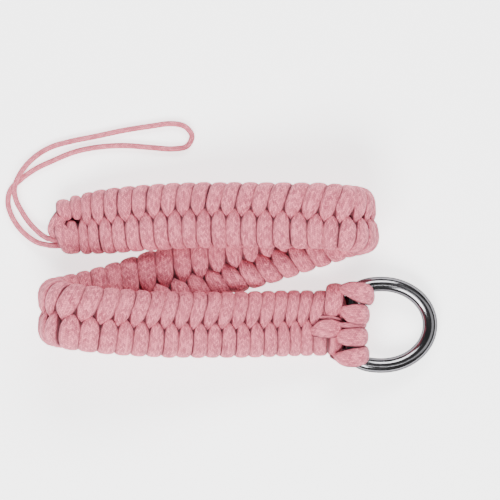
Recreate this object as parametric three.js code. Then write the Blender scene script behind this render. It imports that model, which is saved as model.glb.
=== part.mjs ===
// A wrist strap woven from 4 mm cord over two cores, lying folded in three runs on a flat surface.
// One end carries a D-ring in four turns of cord. The other ends in a closing turn of cord, with a
// thin doubled cord that ties the strap on.
//
// Millimetres, +Z up, the surface at z = 0. The origin lies under the middle of the strap and its
// ring, and +X runs along the strap towards the ring.

import * as THREE from 'three';

// ---- Driving dimensions ----

const LOBE_RADIUS = 4.5; // one core with the cord wrapped round it
const LOBE_OFFSET = 4.5; // each lobe's middle from the middle of the band
const GROOVE_HEIGHT = 3.3; // half thickness in the groove between the lobes
const END_GROOVE_HEIGHT = 1; // the same at the ring end, where the tuck lies in it
const WRAP_PITCH = 4.1; // one row of the weave, along the band
const WRAP_RELIEF = 0.25; // how far a wrap stands out, and the joint beside it lies in

const WIRE_DIAMETER = 4;
const RING_HALF_WIDTH = 11.15; // middle of the wire at the ring's widest place
const RING_WIDEST = 8.6; // from the bar to that place
const RING_REACH = 22.1; // from the bar to the tip, along the ring
const BAR_HALF_STRAIGHT = 5.2;
const BAR_POSITION = new THREE.Vector3(31, -12.85, 6.2);
const RING_TILT = Math.asin((BAR_POSITION.z - WIRE_DIAMETER / 2) / RING_REACH);

const TURN_HALF_WIDTH = 1.95; // a turn of cord round the bar, pressed flat
const TURN_HALF_THICKNESS = 1.35;
const TURN_RISE = 4.8; // middle of the cord above and below the bar, clear of the swinging ring

const LOOP_CORD_DIAMETER = 1.5;

// The middle line of the band, from the thin cord to the ring.
// cross: the way that the width points, in degrees from +X, seen from above
// roll: how steeply that way climbs, in degrees
// width: the band's size there against its full size
const BAND_ROUTE = [
  // the first run, which slopes up from the surface onto the middle run
  { x: -45.4, y: 14.4, z: 4.3, cross: 97, roll: 0, width: 0.84 },
  { x: -41.5, y: 14.8, z: 4.7, cross: 96, roll: 0, width: 0.93 },
  { x: -36, y: 15.4, z: 5.9, cross: 94, roll: -1, width: 0.98 },
  { x: -28, y: 16, z: 7.8, cross: 93, roll: -4, width: 1 },
  { x: -15, y: 16.7, z: 11, cross: 91, roll: -7, width: 1 },
  { x: 0, y: 16.8, z: 13.8, cross: 90, roll: -6, width: 1 },
  { x: 14, y: 16.7, z: 15.9, cross: 90, roll: -3, width: 1 },
  { x: 23.5, y: 16.5, z: 17.2, cross: 93, roll: 0, width: 1 },
  // the fold at the right
  { x: 29.3, y: 16.2, z: 17.1, cross: 95, roll: 0, width: 1 },
  { x: 32.4, y: 15.9, z: 14.7, cross: 96, roll: 0, width: 1 },
  { x: 33.6, y: 15.6, z: 10.9, cross: 96, roll: 0, width: 1 },
  { x: 32.4, y: 15.2, z: 7.1, cross: 98, roll: 0, width: 1 },
  { x: 29.3, y: 14.5, z: 4.7, cross: 102, roll: 0, width: 1 },
  // the middle run, on the surface
  { x: 23, y: 12.4, z: 4.1, cross: 106, roll: 0, width: 1 },
  { x: 9.2, y: 7.9, z: 4.1, cross: 108, roll: 0, width: 1 },
  { x: -8, y: 2.8, z: 4.1, cross: 108, roll: 0, width: 1 },
  { x: -22.6, y: -1.6, z: 4.1, cross: 107, roll: 0, width: 1 },
  { x: -33, y: -5, z: 4.4, cross: 106, roll: 0, width: 1 },
  { x: -40, y: -6.9, z: 5.5, cross: 104, roll: 0, width: 1 },
  // the fold at the left
  { x: -45.8, y: -8.2, z: 6.9, cross: 100, roll: 0, width: 1 },
  { x: -48.6, y: -8.8, z: 9.2, cross: 95, roll: 0, width: 1 },
  { x: -49.75, y: -9.3, z: 12.9, cross: 90, roll: 0, width: 1 },
  { x: -48.6, y: -9.8, z: 16.6, cross: 89, roll: 0, width: 1 },
  { x: -45.8, y: -10.4, z: 18.9, cross: 89, roll: 0, width: 1 },
  // the last run, which slopes down off the middle run to the surface
  { x: -40, y: -11.2, z: 19, cross: 90, roll: 2, width: 1 },
  { x: -32, y: -12, z: 17.3, cross: 89, roll: 3, width: 1 },
  { x: -22, y: -12.6, z: 14.8, cross: 89, roll: 5, width: 1 },
  { x: -8, y: -12.8, z: 11, cross: 90, roll: 6, width: 1 },
  { x: 4, y: -12.7, z: 8, cross: 90, roll: 4, width: 1 },
  { x: 16, y: -12.4, z: 5.4, cross: 90, roll: 1, width: 1 },
  { x: 28.3, y: -12.4, z: 4.6, cross: 90, roll: 0, width: 0.98 },
];
const GROOVE_WIDENS_FROM = 18; // x on the last run where the groove begins to open for the tuck

// The four turns of cord round the bar, in the bar's own frame.
// back: the place across the ring where a turn leaves the band
// front: its place across the ring at the front, inside the ring's sides
// reach: how far in front of the bar it turns back
const RING_TURNS = [
  { name: 'ring_turn_1', back: 8.9, front: 6.2, reach: 5.6 },
  { name: 'ring_turn_2', back: 3.1, front: 2.1, reach: 4.6 },
  { name: 'ring_turn_3', back: -2.9, front: -2.1, reach: 4.3 },
  { name: 'ring_turn_4', back: -8.7, front: -6.2, reach: 4.6 },
];

// The thin cord, from the closing turn out to its far bend and back. It crosses over itself once.
const LOOP_ROUTE = [
  [-51.7, 10.6, 3.2],
  [-53.8, 11.9, 2.4],
  [-56.8, 14.8, 1.3],
  [-59, 18, 1.3],
  [-60.7, 21.4, 1.8],
  [-61.1, 24.4, 2.4],
  [-60, 27.6, 2.4],
  [-57.7, 31, 1.6],
  [-54.6, 33.8, 0.9],
  [-50.8, 35.9, 0.8],
  [-45.5, 37.4, 0.8],
  [-39, 38.7, 0.8],
  [-31.5, 40.3, 0.8],
  [-24, 41.5, 0.8],
  [-18, 42.2, 0.8],
  [-14.4, 41.4, 0.8],
  [-12.5, 38.9, 0.8],
  [-13.8, 36.1, 0.8],
  [-17.5, 35.3, 0.8],
  [-24, 35.7, 0.8],
  [-31, 36.2, 0.8],
  [-38, 35.8, 0.8],
  [-44.5, 34.5, 0.8],
  [-50.5, 32.1, 0.8],
  [-55.5, 29.7, 0.8],
  [-59.4, 26.9, 0.8],
  [-62.2, 24, 0.8],
  [-62.9, 20.6, 0.8],
  [-62, 17.2, 0.8],
  [-60, 13.9, 0.8],
  [-57.3, 11.2, 1],
  [-54.6, 9.6, 1.8],
  [-51.6, 8.9, 2.8],
];

// ---- Materials ----

const wovenCord = new THREE.MeshStandardMaterial({ color: 0xd79fa5, roughness: 0.85, metalness: 0 });
const thinCord = new THREE.MeshStandardMaterial({ color: 0xcf929a, roughness: 0.8, metalness: 0 });
const gunmetal = new THREE.MeshStandardMaterial({ color: 0x55565a, roughness: 0.2, metalness: 1 });

// ---- Shapes ----

const radians = THREE.MathUtils.degToRad;

// A round section pressed flat: halfWidth across, halfThickness through.
function ovalSection(halfWidth, halfThickness, sides) {
  const outline = new THREE.EllipseCurve(0, 0, halfWidth, halfThickness).getPoints(sides);
  return new THREE.Shape(outline.slice(0, sides));
}

// The band's section: two round lobes with a groove between them on both faces.
function bandSection() {
  const points = [];
  for (const side of [1, -1]) {
    for (let angle = -105; angle <= 105; angle += 35) {
      const x = side * (LOBE_OFFSET + LOBE_RADIUS * Math.cos(radians(angle)));
      const y = side * LOBE_RADIUS * Math.sin(radians(angle));
      points.push(new THREE.Vector2(x, y));
    }
    points.push(new THREE.Vector2(0, side * GROOVE_HEIGHT));
  }
  return new THREE.Shape(points);
}

// Extrudes a section straight, then lays it along a path. place(along) gives the path's middle and
// the way that the section's width points, at a share of its length from 0 to 1. shape(point, step,
// along) may first move a section's point, held as x across and y through.
function sweep(section, steps, place, shape = () => {}) {
  const geometry = new THREE.ExtrudeGeometry(section, { depth: 1, steps, bevelEnabled: false });
  const position = geometry.attributes.position;
  for (let i = 0; i < position.count; i += 1) {
    const step = Math.round(position.getZ(i) * steps);
    const { middle, tangent, width } = place(step / steps);
    const across = width.clone().addScaledVector(tangent, -width.dot(tangent)).normalize();
    const through = tangent.clone().cross(across);
    const point = new THREE.Vector2(position.getX(i), position.getY(i));
    shape(point, step, step / steps);
    const moved = middle.clone().addScaledVector(across, point.x).addScaledVector(through, point.y);
    position.setXYZ(i, moved.x, moved.y, moved.z);
  }
  return geometry;
}

// Presses what would lie below the surface flat on it.
function flattenBelow(geometry) {
  const position = geometry.attributes.position;
  for (let i = 0; i < position.count; i += 1) {
    position.setZ(i, Math.max(position.getZ(i), 0));
  }
  return geometry;
}

// A value of the route's table at a share of the curve's length.
function routeValue(curve, rows, column, along) {
  const row = curve.getUtoTmapping(along) * (rows.length - 1);
  const before = Math.min(Math.floor(row), rows.length - 2);
  return THREE.MathUtils.lerp(rows[before][column], rows[before + 1][column], row - before);
}

function braidedBand() {
  const rows = BAND_ROUTE;
  const curve = new THREE.CatmullRomCurve3(rows.map((row) => new THREE.Vector3(row.x, row.y, row.z)));
  curve.arcLengthDivisions = 2000;
  const steps = 2 * Math.round(curve.getLength() / WRAP_PITCH);

  const place = (along) => {
    const cross = radians(routeValue(curve, rows, 'cross', along));
    const roll = radians(routeValue(curve, rows, 'roll', along));
    const flat = Math.cos(roll);
    return {
      middle: curve.getPointAt(along),
      tangent: curve.getTangentAt(along),
      width: new THREE.Vector3(Math.cos(cross) * flat, Math.sin(cross) * flat, Math.sin(roll)),
    };
  };

  // The wraps on one lobe lie half a row on from those on the other.
  const shape = (point, step, along) => {
    const side = Math.sign(Math.round(point.x));
    const middle = curve.getPointAt(along);
    if (side === 0) {
      const opening = middle.y < 0 ? THREE.MathUtils.smoothstep(middle.x, GROOVE_WIDENS_FROM, 24) : 0;
      point.y *= THREE.MathUtils.lerp(1, END_GROOVE_HEIGHT / GROOVE_HEIGHT, opening);
    } else {
      const out = step % 2 === 0 ? side : -side;
      const swell = 1 + (out * WRAP_RELIEF) / LOBE_RADIUS;
      point.x = side * LOBE_OFFSET + (point.x - side * LOBE_OFFSET) * swell;
      point.y *= swell;
    }
    point.multiplyScalar(routeValue(curve, rows, 'width', along));
  };
  return flattenBelow(sweep(bandSection(), steps, place, shape));
}

// A piece of cord along a few points, with its width kept to one side.
function shortCord(points, halfWidth, halfThickness, width, steps, sides = 10) {
  const curve = new THREE.CatmullRomCurve3(points.map((point) => new THREE.Vector3(...point)));
  const place = (along) => ({
    middle: curve.getPointAt(along),
    tangent: curve.getTangentAt(along),
    width,
  });
  return sweep(ovalSection(halfWidth, halfThickness, sides), steps, place);
}

// One turn of cord round the bar, open towards the band.
function ringTurn({ back, front, reach }) {
  const across = (share) => THREE.MathUtils.lerp(back, front, share);
  const half = [
    [-1.9, across(0), TURN_RISE - 0.7],
    [0.3, across(0.15), TURN_RISE - 0.1],
    [2.3, across(0.5), TURN_RISE],
    [reach - 0.7, across(0.9), 3],
  ];
  const under = half.map(([x, y, z]) => [x, y, -z]).reverse();
  const path = [...half, [reach, front, 0], ...under];
  return shortCord(path, TURN_HALF_WIDTH, TURN_HALF_THICKNESS, new THREE.Vector3(0, 1, 0), 16);
}

// The ring's outline through the middle of its wire, turning left from the middle of the tip: a
// half-round front, sides that draw in towards the bar, and the bar.
function ringOutline() {
  const outline = new THREE.CurvePath();
  const vector = (x, y) => new THREE.Vector2(x, y);
  const front = RING_REACH - RING_WIDEST;
  const side = (from, to) => [
    vector(RING_WIDEST, from * RING_HALF_WIDTH),
    vector(RING_WIDEST - 5, from * RING_HALF_WIDTH),
    vector(0, from * (RING_HALF_WIDTH - 1.15)),
    vector(0, to * BAR_HALF_STRAIGHT),
  ];
  const quarter = Math.PI / 2;
  outline.add(new THREE.EllipseCurve(RING_WIDEST, 0, front, RING_HALF_WIDTH, 0, quarter));
  outline.add(new THREE.CubicBezierCurve(...side(1, 1)));
  outline.add(new THREE.LineCurve(vector(0, BAR_HALF_STRAIGHT), vector(0, -BAR_HALF_STRAIGHT)));
  outline.add(new THREE.CubicBezierCurve(...side(-1, -1).reverse()));
  outline.add(new THREE.EllipseCurve(RING_WIDEST, 0, front, RING_HALF_WIDTH, -quarter, 0));
  return outline;
}

// The wire is a torus laid along the outline, turned so that flat sides face up, down, in and out,
// with one of its lengths centred on the tip.
function dRing() {
  const lengths = 48;
  const sides = 12;
  const outline = ringOutline();
  outline.arcLengthDivisions = 1200;
  const geometry = new THREE.TorusGeometry(1, WIRE_DIAMETER / 2, sides, lengths);
  const position = geometry.attributes.position;
  const turn = new THREE.Vector2();
  for (let i = 0; i < position.count; i += 1) {
    const ringStep = Math.floor(i % (lengths + 1));
    const sideStep = Math.floor(i / (lengths + 1));
    const along = ((ringStep + 0.5) / lengths) % 1;
    const middle = outline.getPointAt(along);
    const tangent = outline.getTangentAt(along);
    const angle = (2 * Math.PI * (sideStep + 0.5)) / sides;
    turn.set(Math.cos(angle), Math.sin(angle)).multiplyScalar(WIRE_DIAMETER / 2);
    position.setXYZ(i, middle.x + tangent.y * turn.x, middle.y - tangent.x * turn.x, turn.y);
  }
  return geometry;
}

// The tuck: the last end of cord, laid in the opened groove at the ring end.
function centreTuck() {
  const points = [
    [20.6, -13.2, 10],
    [24.6, -13, 10.3],
    [28.2, -12.8, 9.9],
  ];
  return shortCord(points, 2.6, 1.4, new THREE.Vector3(0, 1, 0), 6);
}

// The closing turn, which lies slantwise over the end of the band.
function endWrap() {
  const points = [
    [-48.3, 20, 4.3],
    [-49, 15.5, 4.3],
    [-49.3, 10.5, 4.1],
  ];
  return shortCord(points, 1.9, 3, new THREE.Vector3(-1, 0, 0), 8);
}

// The thin cord is a round tube along its route.
function attachmentLoop() {
  const curve = new THREE.CatmullRomCurve3(LOOP_ROUTE.map((point) => new THREE.Vector3(...point)));
  curve.arcLengthDivisions = 1000;
  const radius = LOOP_CORD_DIAMETER / 2;
  const steps = Math.round(curve.getLength() / (2.2 * LOOP_CORD_DIAMETER));
  const section = ovalSection(radius, radius, 8);
  return new THREE.ExtrudeGeometry(section, { extrudePath: curve, steps, bevelEnabled: false });
}

// ---- Assembly ----

function piece(name, geometry, material) {
  const mesh = new THREE.Mesh(geometry, material);
  mesh.name = name;
  return mesh;
}

const strap = new THREE.Group();
strap.add(piece('braided_band', braidedBand(), wovenCord));
strap.add(piece('centre_tuck', centreTuck(), wovenCord));
strap.add(piece('end_wrap', endWrap(), wovenCord));
strap.add(piece('attachment_loop', attachmentLoop(), thinCord));

const ringEnd = new THREE.Group();
ringEnd.position.copy(BAR_POSITION);
for (const turn of RING_TURNS) {
  ringEnd.add(piece(turn.name, ringTurn(turn), wovenCord));
}
const ring = piece('d_ring', dRing(), gunmetal);
ring.rotation.y = RING_TILT;
ringEnd.add(ring);
strap.add(ringEnd);

export default strap;
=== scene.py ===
"""A wrist strap woven from pink cord, lying folded in three runs, with a dark nickel D-ring.

Metres, +Z up, the surface at z = 0. Lengths written as numbers times MM are millimetres.
"""
import math
import random

import bmesh
import bpy
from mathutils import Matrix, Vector


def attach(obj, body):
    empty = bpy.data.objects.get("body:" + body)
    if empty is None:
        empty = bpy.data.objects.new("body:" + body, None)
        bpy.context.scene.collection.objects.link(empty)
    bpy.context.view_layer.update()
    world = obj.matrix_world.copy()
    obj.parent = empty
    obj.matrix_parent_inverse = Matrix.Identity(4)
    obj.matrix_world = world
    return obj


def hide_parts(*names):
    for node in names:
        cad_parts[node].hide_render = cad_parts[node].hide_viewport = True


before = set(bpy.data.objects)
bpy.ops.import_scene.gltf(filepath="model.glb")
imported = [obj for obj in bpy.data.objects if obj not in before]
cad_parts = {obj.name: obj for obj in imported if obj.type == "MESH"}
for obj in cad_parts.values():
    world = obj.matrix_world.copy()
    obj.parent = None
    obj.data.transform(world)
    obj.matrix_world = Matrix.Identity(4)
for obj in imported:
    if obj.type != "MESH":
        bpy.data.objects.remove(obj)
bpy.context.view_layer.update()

MM = 0.001


# ---- Sizes of the real thing ----

FIRST_ROW_BACK = 3.04 * MM    # from the band's ring end to the first row of its weave
FIRST_TURN = -1.3             # the winding starts this many rows before that one
LAST_TURN = 64.9              # and ends this many rows after it
TURN_STEPS = 48               # rings of the winding cord to a turn
ROW_PARTS = 16                # and places to a row at which the pitch is read
HEADING_STEP = 0.004          # how far ahead and behind a heading is taken, in turns
UNEVENNESS_SEED = 11
WRAP_HALF_THICK = 1.45 * MM   # the cord pressed flat over a core
WRAP_OVERLAP = 0.07 * MM      # how far neighbouring wraps press into each other
CROSSING_WIDE_SHARE = 0.3     # half a wrap's width where it crosses, against the rows' spacing
CROSSING_HALF_THICK = 2.4 * MM
WRAP_WIDENS_BY = 1 * MM       # from the crossing to the cord's full width
WRAP_POINTED_TO = 0.6 * MM    # its section is pointed up to here from the crossing
WRAP_PRESSED_FROM = 3.4 * MM  # and flat from here
WRAP_OUTSIDE = 1.15           # where a wrap's width is measured, against its middle's height
CROSSING_OUTSIDE = 1.5 * MM   # and the least height for that
CROSSING_SHADE = 2.6 * MM     # how far the shade reaches from the crossing
END_SHADE = 4 * MM            # and from the ends of a laid cord
WRAP_SWELL = 0.07             # unevenness of the wraps, as a share of their thickness
WRAP_SHIFT = 0.18 * MM        # and along the band
# The cords inside the winding: place across the band, half width, half thickness.
CORE_STRANDS = [
    (4.4 * MM, 2.4 * MM, 1.95 * MM), (-4.4 * MM, 2.4 * MM, 1.95 * MM), (0, 2.6 * MM, 1.1 * MM),
]
CORE_STEPS = 260
CORE_INSET = 2 * MM
CORE_SHADE = 2                # deep inside the winding, in full shade
TIE_CORD_DIAMETER = 1.5 * MM
TIE_CORD_STEPS = 400
WIRE_RADIUS = 2 * MM
RING_STEPS = 240

# The ring in its own plane, in millimetres from the middle of its bar.
BAR_STRAIGHT_TO = 2.6
RING_HALF_WIDE = 11.15
BEND_FROM = 8.6               # where the round end starts
BEND_REACH = 13.5             # and how far it goes on from there
# The Bezier curve from the bar round to the side.
SHOULDER = [(0, 5.2), (0, 10), (3.6, RING_HALF_WIDE), (BEND_FROM, RING_HALF_WIDE)]
RING_ARC_STEPS = 12

# The middle line of the band, in millimetres, from the thin cord to the ring.
# cross: the way the width points, in degrees from +X; roll: how steeply it climbs, in degrees;
# width: size against full size; pitch: one row of wraps along the band, in millimetres, narrower
# in a fold, where the rows spread on the outside; lag_far, lag_near: how far a wrap's edge on the
# +Y and -Y side is moved towards the ring from even winding, as a share of the pitch; seam: how far
# the line where the wraps cross lies from the middle of the width, in millimetres.
BAND_COLUMNS = ("x", "y", "z", "cross", "roll", "width", "pitch", "lag_far", "lag_near", "seam")
BAND_ROUTE = [
    (-49.3, 14.1, 3.9, 98, 0, 0.8, 3.68, -0.12, -0.2, 0.6),
    (-45.4, 14.4, 4.2, 97, 0, 0.86, 2.87, -0.12, -0.2, 0.6),
    (-41.5, 14.8, 4.6, 96, 0, 0.91, 3.03, -0.12, -0.2, 0.5),
    (-36, 15.4, 5.9, 94, -1, 0.98, 3.57, -0.1, -0.18, 0.35),
    (-28, 16.15, 7.8, 93, -4, 1, 4.04, -0.02, -0.16, 0.3),
    (-15, 17, 11, 91, -7, 1, 3.98, 0.12, -0.15, 0.5),
    (0, 17.1, 13.8, 90, -6, 1, 4.14, 0.25, -0.15, 0.55),
    (14, 17, 15.9, 90, -3, 1, 4.72, 0.33, -0.15, 0.2),
    (23.5, 16.8, 17.2, 93, 0, 1, 4.39, 0.37, -0.15, -0.5),
    (29.3, 16.35, 17.1, 95, 0, 1, 3.03, 0.3, -0.15, -0.5),
    (32.4, 15.9, 14.7, 96, 0, 1, 2.36, 0.15, -0.18, -0.4),
    (33.6, 15.6, 10.9, 96, 0, 1, 2.53, 0, -0.2, -0.4),
    (32.4, 15.2, 7.1, 98, 0, 1, 2.99, -0.15, -0.24, -0.6),
    (29.3, 14.5, 4.7, 102, 0, 1, 3.82, -0.25, -0.28, -1),
    (23, 12.4, 4.1, 106, 0, 1, 4.44, -0.29, -0.29, -1.4),
    (9.2, 7.9, 4.1, 108, 0, 1, 4.69, -0.29, -0.29, -1.5),
    (-8, 2.8, 4.1, 108, 0, 1, 4.86, -0.29, -0.29, -1.5),
    (-22.6, -1.6, 4.1, 107, 0, 1, 5.04, -0.29, -0.29, -1.4),
    (-33, -5, 4.4, 106, 0, 1, 4.73, -0.29, -0.29, -1.2),
    (-40, -6.9, 5.5, 104, 0, 1, 4.13, -0.29, -0.29, -0.8),
    (-45.8, -8.2, 6.9, 100, 0, 1, 3.42, -0.2, -0.28, -0.4),
    (-48.6, -8.8, 9.2, 95, 0, 1, 2.66, -0.1, -0.25, -0.1),
    (-49.75, -9.3, 12.9, 90, 0, 1, 2.3, 0.05, -0.2, 0),
    (-48.6, -9.8, 16.6, 89, 0, 1, 2.5, 0.2, -0.18, 0),
    (-45.8, -10.4, 18.9, 89, 0, 1, 3.68, 0.3, -0.15, 0),
    (-40, -11.2, 19, 90, 2, 1, 5.02, 0.37, -0.15, 0),
    (-32, -12, 17.3, 89, 3, 1, 4.52, 0.37, -0.15, 0),
    (-22, -12.6, 14.8, 89, 5, 1, 4.07, 0.37, -0.15, 0),
    (-8, -12.8, 11, 90, 6, 1, 4.05, 0.37, -0.15, 0),
    (4, -12.7, 8, 90, 4, 1, 3.89, 0.37, -0.15, 0),
    (16, -12.4, 5.4, 90, 1, 1, 3.45, 0.37, -0.15, 0),
    (28.3, -12.4, 4.6, 90, 0, 0.98, 4.18, 0.37, -0.15, 0),
]

# The thin cord, in millimetres, from the closing turn out to its far bend and back.
TIE_ROUTE = [
    (-51.7, 10.6, 3.2), (-53.8, 11.9, 2.4), (-56.8, 14.8, 1.3), (-59, 18, 1.3), (-60.7, 21.4, 1.8),
    (-61.1, 24.4, 2.4), (-60, 27.6, 2.4), (-57.7, 31, 1.6), (-54.6, 33.8, 0.9), (-50.8, 35.9, 0.8),
    (-45.5, 37.4, 0.8), (-39, 38.7, 0.8), (-31.5, 40.3, 0.8), (-24, 41.5, 0.8), (-18, 42.2, 0.8),
    (-14.4, 41.4, 0.8), (-12.5, 38.9, 0.8), (-13.8, 36.1, 0.8), (-17.5, 35.3, 0.8), (-24, 35.7, 0.8),
    (-31, 36.2, 0.8), (-38, 35.8, 0.8), (-44.5, 34.5, 0.8), (-50.5, 32.1, 0.8), (-55.5, 29.7, 0.8),
    (-59.4, 26.9, 0.8), (-62.2, 24, 0.8), (-62.9, 20.6, 0.8), (-62, 17.2, 0.8), (-60, 13.9, 0.8),
    (-57.3, 11.2, 1), (-54.6, 9.6, 1.8), (-51.6, 8.9, 2.8),
]

# Shapes of section, from a pointed one to one with flattened sides, as pressed cord has.
POINTED = 1.25
ROUND = 2
LAID = 2.15
PRESSED = 2.65

SIDEWAYS = (0, 1, 0)
LENGTHWAYS = (1, 0, 0)


# ---- Lines in space ----

def spline_point(points, place):
    """A centripetal Catmull-Rom spline: place counts points from 0."""
    first = min(int(place), len(points) - 2)
    share = place - first
    b, c = points[first], points[first + 1]
    a = points[first - 1] if first > 0 else 2 * b - c
    d = points[first + 2] if first + 2 < len(points) else 2 * c - b
    ab, bc, cd = ((q - p).length ** 0.5 for p, q in ((a, b), (b, c), (c, d)))
    leave = ((b - a) / ab - (c - a) / (ab + bc) + (c - b) / bc) * bc
    arrive = ((c - b) / bc - (d - b) / (bc + cd) + (d - c) / cd) * bc
    square, cube = share ** 2, share ** 3
    return (b * (2 * cube - 3 * square + 1) + leave * (cube - 2 * square + share)
            + c * (3 * square - 2 * cube) + arrive * (cube - square))


class Line:
    """A smooth line through points, read by the distance along it."""

    def __init__(self, points, per_span=24):
        self.points = [Vector(point) for point in points]
        spans = len(self.points) - 1
        self.places = [i / per_span for i in range(spans * per_span + 1)]
        laid = [spline_point(self.points, place) for place in self.places]
        self.runs = [0.0]
        for before, after in zip(laid, laid[1:]):
            self.runs.append(self.runs[-1] + (after - before).length)
        self.length = self.runs[-1]

    def place_at(self, run):
        """The place among the points at a distance along the line."""
        run = min(max(run, 0.0), self.length)
        low, high = 0, len(self.runs) - 1
        while high - low > 1:
            middle = (low + high) // 2
            low, high = (middle, high) if self.runs[middle] <= run else (low, middle)
        span = self.runs[high] - self.runs[low]
        share = (run - self.runs[low]) / span
        return self.places[low] + share * (self.places[high] - self.places[low])

    def at(self, run):
        return spline_point(self.points, self.place_at(run))

    def heading(self, run):
        step = 0.05 * MM
        return (self.at(run + step) - self.at(run - step)).normalized()


def smooth_share(low, high, value):
    """0 up to low and 1 from high on, with a smooth step between."""
    share = min(max((value - low) / (high - low), 0.0), 1.0)
    return share * share * (3 - 2 * share)


def mixed(low, high, share):
    return low + (high - low) * share


BAND_LINE = Line([Vector(row[:3]) * MM for row in BAND_ROUTE])


def band_value(column, run):
    """A column of the band's table at a distance along the band."""
    place = BAND_LINE.place_at(run)
    row = min(int(place), len(BAND_ROUTE) - 2)
    index = BAND_COLUMNS.index(column)
    return mixed(BAND_ROUTE[row][index], BAND_ROUTE[row + 1][index], place - row)


def band_axes(run):
    """The band's middle and the ways along, across and out of its face."""
    along = BAND_LINE.heading(run)
    cross = math.radians(band_value("cross", run))
    roll = math.radians(band_value("roll", run))
    across = Vector((math.cos(cross) * math.cos(roll), math.sin(cross) * math.cos(roll), math.sin(roll)))
    across = (across - along * across.dot(along)).normalized()
    return BAND_LINE.at(run), along, across, along.cross(across)


# ---- Making meshes ----

def new_object(name, data):
    """An object in the scene, from a mesh, a light or a camera."""
    made = bpy.data.objects.new(name, data)
    bpy.context.scene.collection.objects.link(made)
    return made


def section_point(angle, squareness):
    c, s = math.cos(angle), math.sin(angle)
    power = 2 / squareness
    return math.copysign(abs(c) ** power, c), math.copysign(abs(s) ** power, s)


def cord_mesh(bm, rings, sides):
    """Lays a grid round the rings as a tube with closed ends.

    Each ring is (middle, half width vector, half thickness vector, run, squareness, crossing). The
    UV map along_cord holds the run in metres and the share of the way round. The map at_crossing
    holds how near a cord is to where it dives between the others: 1 there, and more inside the band.
    It sets how much painted shade the cord's colour gets.
    """
    uv = bm.loops.layers.uv.get("along_cord") or bm.loops.layers.uv.new("along_cord")
    dive = bm.loops.layers.uv.get("at_crossing") or bm.loops.layers.uv.new("at_crossing")
    spans = len(rings) - 1
    grid = bmesh.ops.create_grid(bm, x_segments=spans, y_segments=sides, size=0.5)["verts"]
    place = {v: (round((v.co.x + 0.5) * spans), round((v.co.y + 0.5) * sides)) for v in grid}
    for face in {f for v in grid for f in v.link_faces}:
        face.smooth = True
        for loop in face.loops:
            i, j = place[loop.vert]
            loop[uv].uv = (rings[i][3], j / sides)
            loop[dive].uv = (rings[i][5], 0)
    for v, (i, j) in place.items():
        middle, wide, thick, _, squareness, _ = rings[i]
        x, y = section_point(math.tau * j / sides, squareness)
        v.co = middle + wide * x + thick * y
    seam = [v for v, (i, j) in place.items() if j in (0, sides)]
    bmesh.ops.remove_doubles(bm, verts=seam, dist=1e-7)
    ends = [e for e in bm.edges if e.is_boundary]
    bmesh.ops.holes_fill(bm, edges=ends, sides=0)


def finished_cord(name, strands, sides):
    """One piece from one or more strands of rings, with nothing below the surface."""
    bm = bmesh.new()
    for rings in strands:
        cord_mesh(bm, rings, sides)
    for v in bm.verts:
        v.co.z = max(v.co.z, 0.0)
    bmesh.ops.recalc_face_normals(bm, faces=bm.faces)
    mesh = bpy.data.meshes.new(name)
    bm.to_mesh(mesh)
    bm.free()
    return new_object(name, mesh)


def round_rings(line, steps, radius):
    """Rings of a round cord at even steps along a line that never stands upright."""
    rings = []
    for i in range(steps + 1):
        run = line.length * i / steps
        heading = line.heading(run)
        wide = Vector((0, 0, 1)).cross(heading).normalized()
        rings.append((line.at(run), wide * radius, heading.cross(wide) * radius, run, ROUND, 0))
    return rings


# ---- The braided band ----

# One quarter of the figure of eight a wrap makes round the two cores: across and out, in
# millimetres, from the middle of the cord at the band's edge to the crossing.
WRAP_QUARTER = [(7.65, 0), (7.2, 1.9), (5.8, 2.95), (4.0, 3.2), (2.2, 2.85), (0.9, 1.5)]
LOBE_REACH = WRAP_QUARTER[0][0] * MM


def wrap_figure():
    """The whole figure of eight, over the far core, down the middle, under the near core and on."""
    quarter = [Vector((a, n)) for a, n in WRAP_QUARTER]
    back = [Vector((0, 0))] + quarter[:0:-1]
    over_far = quarter
    under_near = [Vector((-p.x, -p.y)) for p in back]
    over_near = [Vector((-p.x, p.y)) for p in quarter]
    under_far = [Vector((p.x, -p.y)) for p in back]
    return [p * MM for p in over_far + under_near + over_near + under_far]


WRAP_FIGURE = wrap_figure()


def figure_at(turn):
    """Across and out at a share of one figure of eight."""
    count = len(WRAP_FIGURE)
    place = (turn % 1) * count
    first = int(place) % count
    around = [WRAP_FIGURE[(first + k) % count] for k in (-1, 0, 1, 2)]
    return spline_point(around, 1 + place - int(place))


def row_runs():
    """The distance along the band at every part of a row, from the ring end."""
    runs = [BAND_LINE.length - FIRST_ROW_BACK]
    while runs[-1] > 0:
        runs.append(runs[-1] - band_value("pitch", runs[-1]) * MM / ROW_PARTS)
    return runs


ROW_RUNS = row_runs()


def wrap_run(turns):
    """How far along the band the winding cord is after so many turns from the ring end."""
    place = turns * ROW_PARTS
    first = min(max(int(place), 0), len(ROW_RUNS) - 2)
    even = mixed(ROW_RUNS[first], ROW_RUNS[first + 1], place - first)
    to_edge = math.cos(math.tau * turns)
    column = "lag_far" if to_edge > 0 else "lag_near"
    pitch = band_value("pitch", even) * MM
    return even + pitch * band_value(column, even) * to_edge ** 2


def band_point(run, across_out):
    """The place across and out from the band's middle, with the crossings moved to the seam."""
    middle, _, across, out = band_axes(run)
    size = band_value("width", run)
    seam = band_value("seam", run) * MM * (1 - min(abs(across_out.x) / LOBE_REACH, 1))
    return middle + (across * (across_out.x + seam) + out * across_out.y) * size


def quarter_unevenness(count):
    """Hand-wound unevenness: a swelling and a shift for each quarter turn, from -1 to 1."""
    chance = random.Random(UNEVENNESS_SEED)
    return [(chance.uniform(-1, 1), chance.uniform(-1, 1)) for _ in range(count)]


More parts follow.
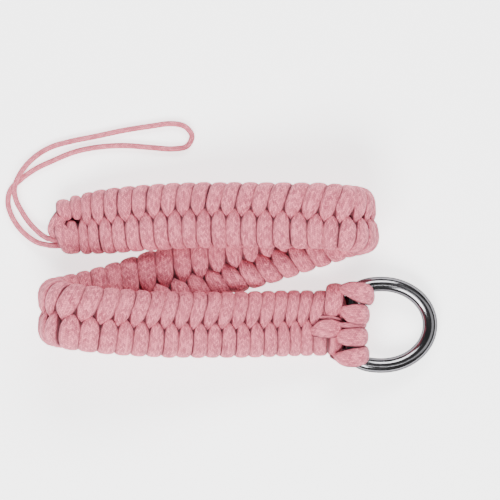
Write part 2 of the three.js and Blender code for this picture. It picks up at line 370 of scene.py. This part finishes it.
def winding_ring(turns, unevenness):
    """The winding cord's middle and section after so many turns, and how near it is to a crossing."""
    quarters = (turns - FIRST_TURN) * 4
    swell, shift = unevenness[int(quarters)]
    bulge = math.sin(math.pi * (quarters - int(quarters))) ** 2
    run = wrap_run(turns) + WRAP_SHIFT * shift * bulge
    figure = figure_at(turns)
    middle = band_point(run, figure)
    behind, ahead = (band_point(wrap_run(near), figure_at(near))
                     for near in (turns - HEADING_STEP, turns + HEADING_STEP))
    heading = (ahead - behind).normalized()
    half_pitch = band_value("pitch", run) * MM / 2
    outside = Vector((figure.x, max(figure.y * WRAP_OUTSIDE, CROSSING_OUTSIDE)))
    spacing = band_point(run + half_pitch, outside) - band_point(run - half_pitch, outside)
    spread = smooth_share(0, WRAP_WIDENS_BY, abs(figure.x))
    pressing = smooth_share(WRAP_POINTED_TO, WRAP_PRESSED_FROM, abs(figure.x))
    half_wide = mixed(CROSSING_WIDE_SHARE * spacing.length, spacing.length / 2 + WRAP_OVERLAP, spread)
    half_thick = mixed(CROSSING_HALF_THICK, WRAP_HALF_THICK, pressing)
    half_thick *= 1 + WRAP_SWELL * swell * bulge
    wide = (spacing - heading * spacing.dot(heading)).normalized()
    squareness = mixed(POINTED, PRESSED, pressing)
    crossing = max(1 - abs(figure.x) / CROSSING_SHADE, 0)
    return middle, wide * half_wide, heading.cross(wide) * half_thick, squareness, crossing


def make_winding():
    steps = int((LAST_TURN - FIRST_TURN) * TURN_STEPS)
    unevenness = quarter_unevenness(steps * 4 // TURN_STEPS + 2)
    rings = []
    run = 0.0
    for i in range(steps + 1):
        turns = mixed(FIRST_TURN, LAST_TURN, i / steps)
        middle, wide, thick, squareness, crossing = winding_ring(turns, unevenness)
        if rings:
            run += (middle - rings[-1][0]).length
        rings.append((middle, wide, thick, run, squareness, crossing))
    return finished_cord("winding_cord", [rings], sides=20)


def make_cores():
    """The cords inside the winding, which close the view between its turns."""
    strands = []
    for place, half_wide, half_thick in CORE_STRANDS:
        rings = []
        for i in range(CORE_STEPS + 1):
            run = mixed(CORE_INSET, BAND_LINE.length - CORE_INSET, i / CORE_STEPS)
            middle, _, across, out = band_axes(run)
            size = band_value("width", run)
            at = middle + across * place * size
            rings.append((at, across * half_wide * size, out * half_thick, run, ROUND, CORE_SHADE))
        strands.append(rings)
    return finished_cord("core_cords", strands, sides=12)


# ---- Laid cords: wraps with their own routes ----

def laid_rings(rows, wide_way, steps, dives=True):
    """Rings along rows of x, y, z, half width and half thickness in millimetres.

    The width keeps to wide_way as near as the route lets it. Both ends are shaded where they dive
    between other cords.
    """
    line = Line([Vector(row[:3]) * MM for row in rows])
    rings = []
    for i in range(steps + 1):
        run = line.length * i / steps
        place = line.place_at(run)
        before = min(int(place), len(rows) - 2)
        share = place - before
        half_wide, half_thick = (mixed(rows[before][k], rows[before + 1][k], share) * MM for k in (3, 4))
        heading = line.heading(run)
        wide = Vector(wide_way)
        wide = (wide - heading * wide.dot(heading)).normalized()
        thick = heading.cross(wide) * half_thick
        crossing = max(1 - min(run, line.length - run) / END_SHADE, 0) if dives else 0
        rings.append((line.at(run), wide * half_wide, thick, run, LAID, crossing))
    return rings


# ---- The ring end ----

# The middle of the ring's bar, in millimetres. The ring is tilted until its tip is on the surface.
BAR_X, BAR_Y, BAR_Z = 31, -12.85, 6.2
BAR_PLACE = Vector((BAR_X, BAR_Y, BAR_Z)) * MM
RING_TILT = math.asin((BAR_Z * MM - WIRE_RADIUS) / ((BEND_FROM + BEND_REACH) * MM))

# Each turn over the ring's bar, in millimetres from the middle of the bar: forward, across, up,
# half width and half thickness. Below the bar it runs back the same way.
TURN_ROWS = {
    "bar_turn_1": [
        (-3.6, 8.8, -0.6, 1.2, 1.1), (-2.7, 9.3, 1.6, 1.4, 1.2), (-1.5, 9.7, 3.3, 1.7, 1.3),
        (0, 9.6, 4.5, 2.3, 1.35), (2.5, 8.9, 4.6, 2.95, 1.4), (4.3, 8.3, 2.9, 2.85, 1.6),
        (4.9, 7.8, 0, 2.5, 1.6),
    ],
    "bar_turn_2": [
        (-4.4, 4.2, 0.8, 1, 1.1), (-2.7, 4, 2.2, 1.2, 1.2), (-1.7, 3.7, 3.7, 1.7, 1.3),
        (-0.3, 3.2, 4.6, 2.6, 1.35), (2, 2.9, 4.6, 3, 1.35), (3.3, 2.8, 3, 2.9, 1.55),
        (3.6, 2.7, 0, 2.6, 1.6),
    ],
    "bar_turn_3": [
        (-4.6, -2.6, 0.4, 1.2, 1.1), (-3.3, -3, 1.8, 1.5, 1.2), (-2.6, -3.2, 3.5, 1.95, 1.3),
        (-1.2, -3.3, 4.7, 2.5, 1.35), (1.6, -3.3, 4.8, 2.65, 1.35), (2.9, -3.3, 3, 2.55, 1.55),
        (3.3, -3.2, 0, 2.4, 1.5),
    ],
    "bar_turn_4": [
        (-4.9, -8, -0.8, 1.2, 1.2), (-3.5, -8.7, 1, 1.4, 1.2), (-2.7, -9, 3, 1.8, 1.3),
        (-1.4, -9.1, 4.4, 2.35, 1.35), (0.8, -8.9, 4.7, 2.7, 1.35), (2.9, -8.4, 3.1, 2.6, 1.55),
        (3.5, -8, 0, 2.4, 1.6),
    ],
}

# The cords that close the band at the ring, in millimetres: x, y, z, half width, half thickness.
LAST_WRAP = [
    (26.9, -6.6, 1.4, 2.2, 1.3), (26.8, -3.8, 2.4, 2.4, 1.4), (26.7, -2.8, 5, 2.5, 1.4),
    (26.6, -3.7, 7.9, 2.6, 1.5), (26.4, -6, 9.5, 2.65, 1.5), (26.1, -7.7, 9.7, 2.55, 1.5),
    (25.8, -8.9, 9, 2.25, 1.5), (25.6, -9.6, 7.6, 1.7, 1.4), (25.5, -9.7, 6, 1.1, 1.2),
]
TUCKED_CORD = [
    (20.2, -14.9, 7, 0.6, 1.1), (21.2, -14.6, 9, 1.6, 1.4), (23.2, -14, 10, 2.6, 1.4),
    (25.6, -13.8, 9.9, 2.75, 1.4), (27.4, -13.7, 8.7, 2.4, 1.4), (28, -13.7, 7, 1.7, 1.3),
]
TUCKED_EDGE = [
    (22, -10.7, 7.6, 0.5, 0.6), (23.2, -10.8, 8.8, 0.7, 0.8), (25.6, -11, 9.2, 0.75, 0.8),
    (27.4, -11.3, 8.6, 0.7, 0.8), (28, -11.5, 7, 0.6, 0.8),
]
BAND_END_FILLER = [
    (27.8, -4.6, 5, 1.2, 1.8), (28.5, -7, 7, 1.4, 1.4), (28.5, -9, 7, 1.4, 1.4),
    (28, -11, 6.6, 1.3, 2.2), (28, -15, 6.6, 1.3, 2.2), (28, -18, 5.2, 1.3, 2.2),
    (27.8, -20.6, 4.6, 1.2, 1.8),
]
STRAND_BETWEEN_TURNS = [
    (27, -12.5, 8, 0.6, 0.8), (29.2, -12.9, 10, 0.9, 0.9), (32, -13, 10.4, 0.95, 0.9),
    (34, -13, 9, 0.9, 0.9), (34.5, -13, 6, 0.8, 0.8),
]


def make_ring_turns():
    pieces = []
    for name, rows in TURN_ROWS.items():
        back = [(x, y, -z, wide, thick) for x, y, z, wide, thick in reversed(rows[:-1])]
        placed = [
            (x + BAR_X, y + BAR_Y, z + BAR_Z, wide, thick) for x, y, z, wide, thick in rows + back
        ]
        pieces.append(finished_cord(name, [laid_rings(placed, SIDEWAYS, steps=60)], sides=24))
    return pieces


def make_tuck():
    strands = [laid_rings(rows, SIDEWAYS, steps=40) for rows in (TUCKED_CORD, TUCKED_EDGE)]
    return finished_cord("tucked_wrap", strands, sides=20)


def make_ring_end_cords():
    """The band's last full wrap, the cord behind its end and the strand between the middle turns."""
    strands = [
        laid_rings(LAST_WRAP, LENGTHWAYS, steps=50),
        laid_rings(BAND_END_FILLER, LENGTHWAYS, steps=30),
        laid_rings(STRAND_BETWEEN_TURNS, SIDEWAYS, steps=30),
    ]
    return finished_cord("last_wrap", strands, sides=20)


# ---- The end with the thin cord ----

# The laid wraps there, in millimetres: x, y, z, half width, half thickness.
CLOSING_WRAP_WAY = (-0.65, 0.75, 0)
CLOSING_WRAP = [
    (-46.8, 18.4, 3.8, 1.5, 1.2), (-48, 17.1, 5.8, 2, 1.35), (-49.2, 15.2, 6.5, 2.1, 1.4),
    (-50, 13.5, 5.8, 2.1, 1.4), (-50.3, 12.3, 4.1, 2, 1.3), (-50.1, 11.7, 2.2, 1.7, 1.2),
]
FIRST_FAR_WRAP = [
    (-47.7, 18.4, 1.9, 1.8, 1.3), (-47.7, 20.1, 3.6, 2.05, 1.4), (-47.5, 19.6, 5.8, 2.25, 1.4),
    (-47.3, 18.4, 7, 2.3, 1.4), (-46.9, 17.3, 6.9, 2.1, 1.4), (-46.9, 16.9, 5.8, 1.6, 1.3),
    (-46.9, 16.8, 4.4, 1.2, 1.2),
]
SECOND_FAR_WRAP = [
    (-44.3, 19.5, 1.9, 1.4, 1.3), (-44.3, 21.2, 3.9, 1.6, 1.4), (-44.2, 20.4, 6.1, 1.7, 1.4),
    (-44.1, 18.9, 7.1, 1.75, 1.4), (-43.9, 17.7, 6.9, 1.65, 1.4), (-43.8, 17.1, 5.8, 1.4, 1.3),
    (-43.8, 17, 4.4, 1.2, 1.2),
]
FIRST_NEAR_WRAP = [
    (-49.2, 15.4, 4.8, 1.2, 1.2), (-48.9, 14.5, 6.3, 1.7, 1.35), (-47.9, 12.4, 7.1, 2.2, 1.4),
    (-46.5, 10.2, 7, 2.75, 1.4), (-45.9, 8.7, 6, 2.6, 1.4), (-45.6, 7.8, 4, 2.4, 1.35),
    (-45.6, 8.7, 1.9, 2.2, 1.3),
]
SECOND_NEAR_WRAP = [
    (-45.5, 14.8, 4.9, 1.4, 1.2), (-45.4, 14.1, 6.3, 1.8, 1.35), (-45.1, 12.6, 7, 1.8, 1.4),
    (-44.8, 10.4, 7, 1.65, 1.4), (-44.5, 8.7, 6, 1.65, 1.4), (-44.3, 7.9, 4, 1.5, 1.35),
    (-44.3, 8.7, 1.9, 1.4, 1.3),
]
TIE_ROOTS = [
    [(-51.9, 10.8, 3.3, 0.75, 0.75), (-50.4, 10.4, 4, 0.8, 0.8), (-47.4, 10.4, 4.4, 0.8, 0.8)],
    [(-51.8, 8.9, 2.8, 0.75, 0.75), (-50.2, 8.8, 3.4, 0.8, 0.8), (-47.4, 8.9, 4, 0.8, 0.8)],
]


def make_end_wrap():
    """The turn that closes the band and the first two wraps at either edge."""
    wraps = (FIRST_FAR_WRAP, SECOND_FAR_WRAP, FIRST_NEAR_WRAP, SECOND_NEAR_WRAP)
    strands = [laid_rings(CLOSING_WRAP, CLOSING_WRAP_WAY, steps=40)]
    strands += [laid_rings(rows, LENGTHWAYS, steps=40) for rows in wraps]
    return finished_cord("closing_wrap", strands, sides=20)


def make_tie_roots():
    """The last of the thin cord, where both its legs go in under the band's first wraps."""
    strands = [laid_rings(rows, SIDEWAYS, steps=16, dives=False) for rows in TIE_ROOTS]
    return finished_cord("tie_cord_roots", strands, sides=12)


# ---- The ring ----

def ring_outline():
    """The ring's wire, in millimetres in its own plane, from the middle of its bar and back."""
    half = [(0, 0), (0, BAR_STRAIGHT_TO)]
    for i in range(RING_ARC_STEPS + 1):
        t = i / RING_ARC_STEPS
        shares = ((1 - t) ** 3, 3 * t * (1 - t) ** 2, 3 * t * t * (1 - t), t ** 3)
        half.append(tuple(sum(s * p[k] for s, p in zip(shares, SHOULDER)) for k in (0, 1)))
    for i in range(RING_ARC_STEPS - 1, -1, -1):
        angle = math.radians(90 * i / RING_ARC_STEPS)
        half.append((BEND_FROM + BEND_REACH * math.cos(angle), RING_HALF_WIDE * math.sin(angle)))
    return half + [(x, -y) for x, y in reversed(half[:-1])]


def make_ring():
    forward = Vector((math.cos(RING_TILT), 0, -math.sin(RING_TILT)))
    side = Vector(SIDEWAYS)
    up = forward.cross(side)
    line = Line([forward * x * MM + side * y * MM for x, y in ring_outline()], per_span=6)
    rings = []
    for i in range(RING_STEPS + 1):
        run = line.length * i / RING_STEPS
        out = up.cross(line.heading(run))
        rings.append((BAR_PLACE + line.at(run), out * WIRE_RADIUS, up * WIRE_RADIUS, run, ROUND, 0))
    return finished_cord("ring_wire", [rings], sides=32)


# ---- The thin cord ----

def make_tie_cord():
    points = [Vector(point) * MM for point in TIE_ROUTE]
    line = Line(points)
    rings = round_rings(line, TIE_CORD_STEPS, TIE_CORD_DIAMETER / 2)
    piece = finished_cord("thin_tie_cord", [rings], sides=12)
    return piece


# ---- Materials ----

def linear(hex_colour):
    """A linear colour from an sRGB one written like D99FA5."""
    parts = [int(hex_colour[i:i + 2], 16) / 255 for i in (0, 2, 4)]
    return [p / 12.92 if p <= 0.04045 else ((p + 0.055) / 1.055) ** 2.4 for p in parts] + [1]


def add_node(tree, kind, settings=None, links=None):
    """Adds one node, sets its properties or input values and links its inputs."""
    node = tree.nodes.new(kind)
    for key, value in (settings or {}).items():
        if isinstance(key, str) and hasattr(node, key):
            setattr(node, key, value)
        else:
            node.inputs[key].default_value = value
    for key, source in (links or {}).items():
        tree.links.new(source, node.inputs[key])
    return node


def math_node(tree, operation, *values):
    """Adds a Math node on numbers or other nodes' outputs."""
    numbers = {i: value for i, value in enumerate(values) if not isinstance(value, bpy.types.NodeSocket)}
    sources = {i: value for i, value in enumerate(values) if i not in numbers}
    node = add_node(tree, "ShaderNodeMath", {"operation": operation, **numbers}, sources)
    return node.outputs["Value"]


def uv_parts(tree, uv_map):
    """The two values of a UV map."""
    uv = add_node(tree, "ShaderNodeUVMap", {"uv_map": uv_map})
    parts = add_node(tree, "ShaderNodeSeparateXYZ", links={"Vector": uv.outputs["UV"]})
    return parts.outputs["X"], parts.outputs["Y"]


def mixed_colours(tree, share, low, high):
    """Adds a Mix node between two sRGB colours."""
    settings = {"data_type": "RGBA", 6: linear(low), 7: linear(high)}
    return add_node(tree, "ShaderNodeMix", settings, {0: share}).outputs[2]


def new_material(name):
    material = bpy.data.materials.new(name)
    material.use_nodes = True
    return material, material.node_tree, material.node_tree.nodes["Principled BSDF"]


def braid_height(tree, pick_length, columns):
    """The relief of a braided sheath, 0 between its yarns and 1 on them, and each yarn's lightness.

    The yarns lie in columns along the cord, leaning one way and then the other.
    """
    run, share_round = uv_parts(tree, "along_cord")
    along = math_node(tree, "MULTIPLY", run, 1 / pick_length)
    around = math_node(tree, "MULTIPLY", share_round, columns)
    lean = math_node(tree, "PINGPONG", around, 1)
    phase = math_node(tree, "ADD", along, lean)
    yarn = math_node(tree, "SINE", math_node(tree, "MULTIPLY", phase, math.pi))
    swell = math_node(tree, "SINE", math_node(tree, "MULTIPLY", around, math.pi))
    rounded = math_node(tree, "POWER", math_node(tree, "ABSOLUTE", swell), 0.5)
    height = math_node(tree, "MULTIPLY", math_node(tree, "ABSOLUTE", yarn), rounded)
    yarn_number = math_node(tree, "FLOOR", phase)
    column_number = math_node(tree, "FLOOR", around)
    cell = add_node(tree, "ShaderNodeCombineXYZ", links={"X": yarn_number, "Y": column_number})
    light = add_node(tree, "ShaderNodeTexWhiteNoise", links={"Vector": cell.outputs["Vector"]})
    return height, light.outputs["Value"]


CREASE_SHADE_FROM = 0.82           # how far out a cord's section starts to get painted shade, against its edge
CROSSING_SHADE_ADDS = 0.5          # how much a crossing adds to that painted shade


def painted_crease_shade(tree):
    """Painted shade in the creases: 1 at a cord's sides and at its crossings, where its neighbours shade
    it, else 0.
    """
    _, share_round = uv_parts(tree, "along_cord")
    turn = math_node(tree, "MULTIPLY", share_round, math.tau)
    side = math_node(tree, "ABSOLUTE", math_node(tree, "COSINE", turn))
    dive, _ = uv_parts(tree, "at_crossing")
    reach = math_node(tree, "MULTIPLY_ADD", dive, CROSSING_SHADE_ADDS, side)
    settings = {"interpolation_type": "SMOOTHSTEP", "From Min": CREASE_SHADE_FROM}
    return add_node(tree, "ShaderNodeMapRange", settings, {"Value": reach}).outputs["Result"]


# How much of a cord's lightness comes from the relief of its yarns, as painted shade between them,
# from patches and from a random lightness for each yarn.
RELIEF_SHARE = 0.42
PATCH_SHARE = 0.08
YARN_TONE_SHARE = 0.56


def braided_nylon(name, pick_length, columns, crease_shade, deep, light):
    """Dyed nylon yarn braided over a core: matt, with a soft sheen, painted shade between the yarns and
    painted shade at the cords' sides and crossings.

    The real yarns are too fine to show, so they are drawn as coarse as they need to be.
    """
    material, tree, shader = new_material(name)
    height, lightness = braid_height(tree, pick_length, columns)
    place = add_node(tree, "ShaderNodeTexCoord").outputs["Object"]
    patches = add_node(tree, "ShaderNodeTexNoise", {"Scale": 170, "Detail": 3}, {"Vector": place})
    # Painted shade between the yarns: where the relief is low the colour is darker.
    relief = math_node(tree, "MULTIPLY", height, RELIEF_SHARE)
    patched = math_node(tree, "MULTIPLY_ADD", patches.outputs["Fac"], PATCH_SHARE, relief)
    shade_and_tone = math_node(tree, "MULTIPLY_ADD", lightness, YARN_TONE_SHARE, patched)
    colour = mixed_colours(tree, shade_and_tone, deep, light)
    # Painted shade: the colour goes dark at the cords' sides and crossings.
    crease_shaded = add_node(tree, "ShaderNodeMix", {"data_type": "RGBA", 7: linear(crease_shade)},
                       {0: painted_crease_shade(tree), 6: colour})
    bump = add_node(tree, "ShaderNodeBump", {"Strength": 0.9, "Distance": 0.15 * MM}, {"Height": height})
    tree.links.new(crease_shaded.outputs[2], shader.inputs["Base Color"])
    tree.links.new(bump.outputs["Normal"], shader.inputs["Normal"])
    shader.inputs["Roughness"].default_value = 0.68
    shader.inputs["Sheen Weight"].default_value = 0.12
    shader.inputs["Sheen Roughness"].default_value = 0.4
    shader.inputs["Sheen Tint"].default_value = linear("F4B9BF")
    return material


def cord_nylon():
    # The first colour is painted shade for the cords' sides and crossings.
    return braided_nylon("Braided nylon cord", pick_length=0.46 * MM, columns=28,
                         crease_shade="5A1020", deep="7E1C36", light="FA8A9B")


def thin_cord_nylon():
    # The first colour is painted shade for the cord's sides.
    return braided_nylon("Fine braided nylon cord", pick_length=0.6 * MM, columns=8,
                         crease_shade="A84456", deep="A84456", light="E98494")


def dark_nickel():
    """Polished steel under dark nickel: a grey mirror with sharp dark bands and faint streaks."""
    material, tree, shader = new_material("Dark nickel plated steel")
    place = add_node(tree, "ShaderNodeTexCoord").outputs["Object"]
    streaks = add_node(tree, "ShaderNodeTexNoise", {"Scale": 400, "Detail": 4}, {"Vector": place})
    colour = mixed_colours(tree, streaks.outputs["Fac"], "69686B", "79787B")
    rough = math_node(tree, "MULTIPLY_ADD", streaks.outputs["Fac"], 0.08, 0.12)
    tree.links.new(colour, shader.inputs["Base Color"])
    tree.links.new(rough, shader.inputs["Roughness"])
    shader.inputs["Metallic"].default_value = 1
    shader.inputs["Specular Tint"].default_value = linear("343436")
    return material


def light_table_acrylic():
    """Matt white acrylic lit from below: an even pale ground with hardly a shadow."""
    material, _, shader = new_material("White acrylic light table")
    shader.inputs["Base Color"].default_value = linear("F4F4F4")
    shader.inputs["Roughness"].default_value = 0.9
    shader.inputs["Emission Color"].default_value = linear("FFFFFF")
    shader.inputs["Emission Strength"].default_value = 2.0
    return material


# ---- Stage ----

CAMERA_PLACE = (0.0034, 0.0076, 2.5)
CAMERA_LENS = 657             # in millimetres, as is the sensor
CAMERA_SENSOR = 36
FLOOR_REACH = 1.5
FLOOR_DROP = 0.2 * MM         # below the surface that the strap lies on


def add_camera():
    """A long lens straight above."""
    data = bpy.data.cameras.new("Camera")
    data.lens = CAMERA_LENS
    data.sensor_width = CAMERA_SENSOR
    camera = new_object("Camera", data)
    camera.location = CAMERA_PLACE
    bpy.context.scene.camera = camera


def add_light(name, place, size, power):
    """A soft rectangular light, turned to the middle of the strap."""
    data = bpy.data.lights.new(name, "AREA")
    data.shape = "RECTANGLE"
    data.size, data.size_y = size
    data.energy = power
    light = new_object(name, data)
    light.location = place
    light.rotation_euler = (-light.location).to_track_quat("-Z", "Y").to_euler()
    return light


def add_floor():
    bm = bmesh.new()
    bmesh.ops.create_grid(bm, x_segments=1, y_segments=1, size=FLOOR_REACH)
    mesh = bpy.data.meshes.new("Floor")
    bm.to_mesh(mesh)
    bm.free()
    floor = new_object("Floor", mesh)
    floor.location.z = -FLOOR_DROP
    mesh.materials.append(light_table_acrylic())
    return floor


def add_world():
    """A light tent: dim round the lens overhead, bright half way down, softer at the sides."""
    world = bpy.data.worlds.new("Light tent")
    bpy.context.scene.world = world
    world.use_nodes = True
    tree = world.node_tree
    direction = add_node(tree, "ShaderNodeTexCoord").outputs["Generated"]
    parts = add_node(tree, "ShaderNodeSeparateXYZ", links={"Vector": direction})
    ramp = add_node(tree, "ShaderNodeValToRGB", links={"Fac": parts.outputs["Z"]})
    # How far up, from level to straight above, and how bright.
    stops = [(0, 0.5), (0.3, 0.6), (0.6, 0.6), (0.85, 0.5), (1, 0.5)]
    points = ramp.color_ramp.elements
    while len(points) < len(stops):
        points.new(0.5)
    for point, (place, level) in zip(points, stops):
        point.position = place
        point.color = (level, level, level, 1)
    background = tree.nodes["Background"]
    tree.links.new(ramp.outputs["Color"], background.inputs["Color"])
    background.inputs["Strength"].default_value = 0.25


def main():
    add_camera()
    tie = make_tie_cord()
    winding = make_winding()
    cores = make_cores()
    turns = make_ring_turns()
    tuck = make_tuck()
    wrap = make_end_wrap()
    ring = make_ring()
    roots = make_tie_roots()
    last = make_ring_end_cords()
    nylon = cord_nylon()
    metal = dark_nickel()
    thin = thin_cord_nylon()
    woven = [winding, cores, tuck, wrap, last] + turns
    for piece in woven:
        piece.data.materials.append(nylon)
        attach(piece, "strap")
    for piece in (tie, roots):
        piece.data.materials.append(thin)
        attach(piece, "strap")
    ring.data.materials.append(metal)
    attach(ring, "ring")
    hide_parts("attachment_loop")
    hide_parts("braided_band")
    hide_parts("centre_tuck")
    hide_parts("end_wrap")
    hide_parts("d_ring")
    for number, turn in enumerate(turns, start=1):
        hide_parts(f"ring_turn_{number}")
    add_world()
    floor = add_floor()
    key = add_light("Key softbox", (-0.15, -0.58, 0.68), (0.7, 0.4), 18.5)
    fill = add_light("Fill softbox", (0.1, 0.6, 0.55), (0.7, 0.3), 10)
    strip = add_light("Strip light", (0.05, -0.45, 1.05), (1.2, 0.06), 2.5)
    card = add_light("Side card", (0.6, -0.05, 0.6), (0.6, 0.5), 1.5)


main()
